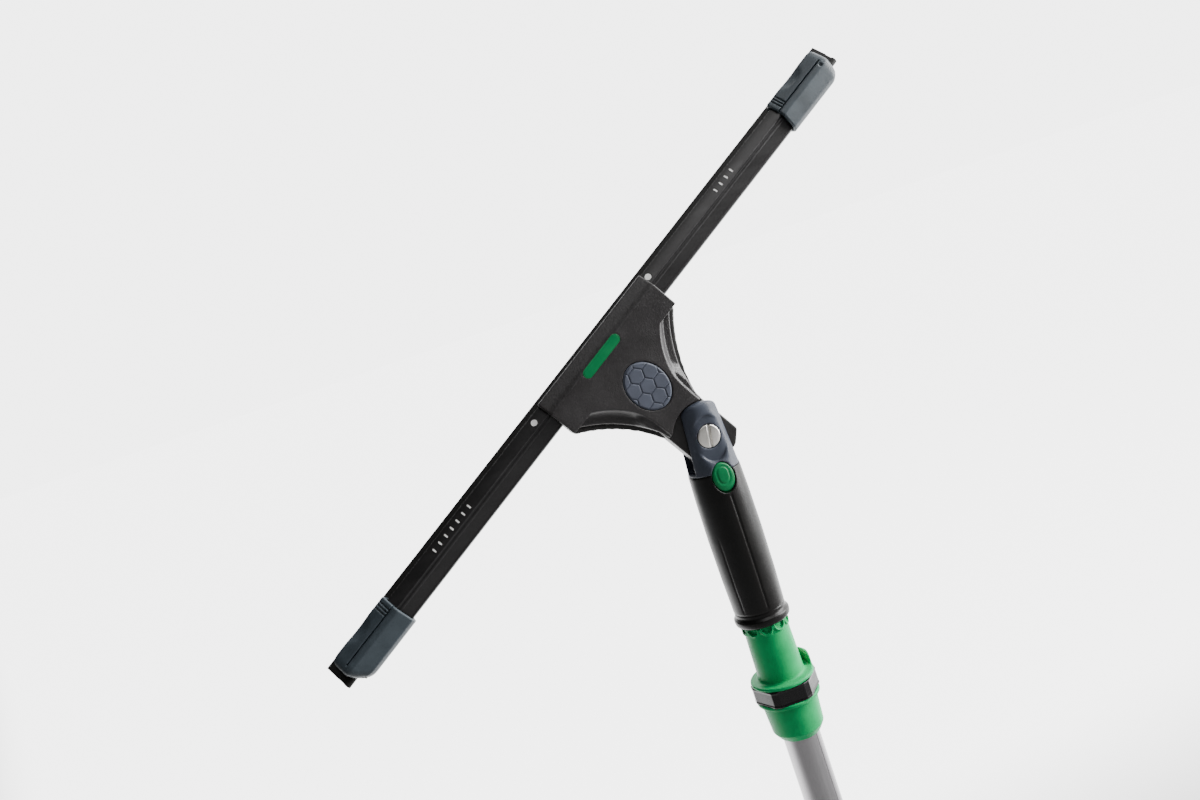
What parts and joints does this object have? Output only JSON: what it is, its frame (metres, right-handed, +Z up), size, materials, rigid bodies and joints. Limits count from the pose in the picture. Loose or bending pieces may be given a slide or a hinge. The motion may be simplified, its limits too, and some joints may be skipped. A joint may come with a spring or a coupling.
{
  "type": "window cleaning squeegee",
  "caption": "Pole squeegee: clamped rubber-blade channel on a swivel head with a sprung jaw, and a grip that pulls off a locking cone on the pole.",
  "frame": {"origin": "centre of the pole tube's lower open end", "axes": "+Z up the pole's axis, +Y from the face with the button and thumb pad to the back, +X to the right seen from the front; the head leans 32 degrees towards -X at rest"},
  "size_m": [0.3898, 0.0388, 0.5917],
  "materials": {
    "aluminium": "satin anodised tube",
    "green_plastic": "semi-gloss moulded nylon",
    "black_plastic": "finely textured moulded nylon",
    "slate_plastic": "satin moulded nylon",
    "clip_plastic": "matt soft-touch plastic",
    "grip_rubber": "satin soft overmould",
    "slate_rubber": "matt soft-touch pad",
    "blade_rubber": "smooth natural rubber",
    "black_aluminium": "black anodised, satin",
    "steel": "zinc plated",
    "screw_steel": "bright nickel plated",
    "washer": "dark friction disc"
  },
  "bodies": {
    "pole": {"pole_tube": "aluminium", "locking_cone": "green_plastic", "cone_band": "black_plastic", "cone_rivet": "steel"},
    "handle": {"handle_core": "slate_plastic", "grip_sleeve": "grip_rubber", "button_spring": "steel", "latch_spring": "steel", "pivot_nut": "steel", "friction_washer_front": "washer", "friction_washer_back": "washer"},
    "button": {"release_button": "green_plastic"},
    "screw": {"pivot_screw": "screw_steel"},
    "head": {"head_frame": "black_plastic", "jaw_pin": "steel", "jaw_spring": "steel", "frame_teeth": "steel", "teeth_rivets": "steel"},
    "jaw": {"jaw_plate": "black_plastic", "thumb_pad": "slate_rubber", "label_plate": "green_plastic", "jaw_teeth": "steel"},
    "channel": {"channel": "black_aluminium", "rubber_blade": "blade_rubber"},
    "clip_left": {"end_clip_left": "clip_plastic"},
    "clip_right": {"end_clip_right": "clip_plastic"}
  },
  "joints": [
    {"name": "handle_pull_off", "type": "slide", "parent": "pole", "child": "handle", "axis": [0, 0, 1], "range_m": [0, 0.085], "deforming": ["latch_spring"]},
    {"name": "head_swivel", "type": "hinge", "parent": "handle", "child": "head", "pos_m": [0, 0, 0.4], "axis": [0, 1, 0], "range_deg": [-58, 122]},
    {"name": "jaw_open", "type": "hinge", "parent": "head", "child": "jaw", "pos_m": [-0.02756, -0.001, 0.4441], "axis": [0.848, 0, 0.5299], "range_deg": [0, 3.2], "stiffness_Nm_per_rad": 4, "springref_deg": -3.44, "deforming": ["jaw_spring"]},
    {"name": "channel_slide", "type": "slide", "parent": "head", "child": "channel", "axis": [0.848, 0, 0.5299], "range_m": [-0.1, 0.1]},
    {"name": "left_clip_slide", "type": "slide", "parent": "channel", "child": "clip_left", "axis": [-0.848, 0, -0.5299], "range_m": [0, 0.05]},
    {"name": "right_clip_slide", "type": "slide", "parent": "channel", "child": "clip_right", "axis": [0.848, 0, 0.5299], "range_m": [0, 0.05]},
    {"name": "button_press", "type": "slide", "parent": "handle", "child": "button", "axis": [0, 1, 0], "range_m": [0, 0.003], "stiffness_N_per_m": 400, "springref_m": -0.001, "deforming": ["button_spring"]},
    {"name": "pivot_screw_turn", "type": "hinge", "parent": "handle", "child": "screw", "pos_m": [0, 0, 0.4], "axis": [0, 1, 0], "continuous": true}
  ]
}
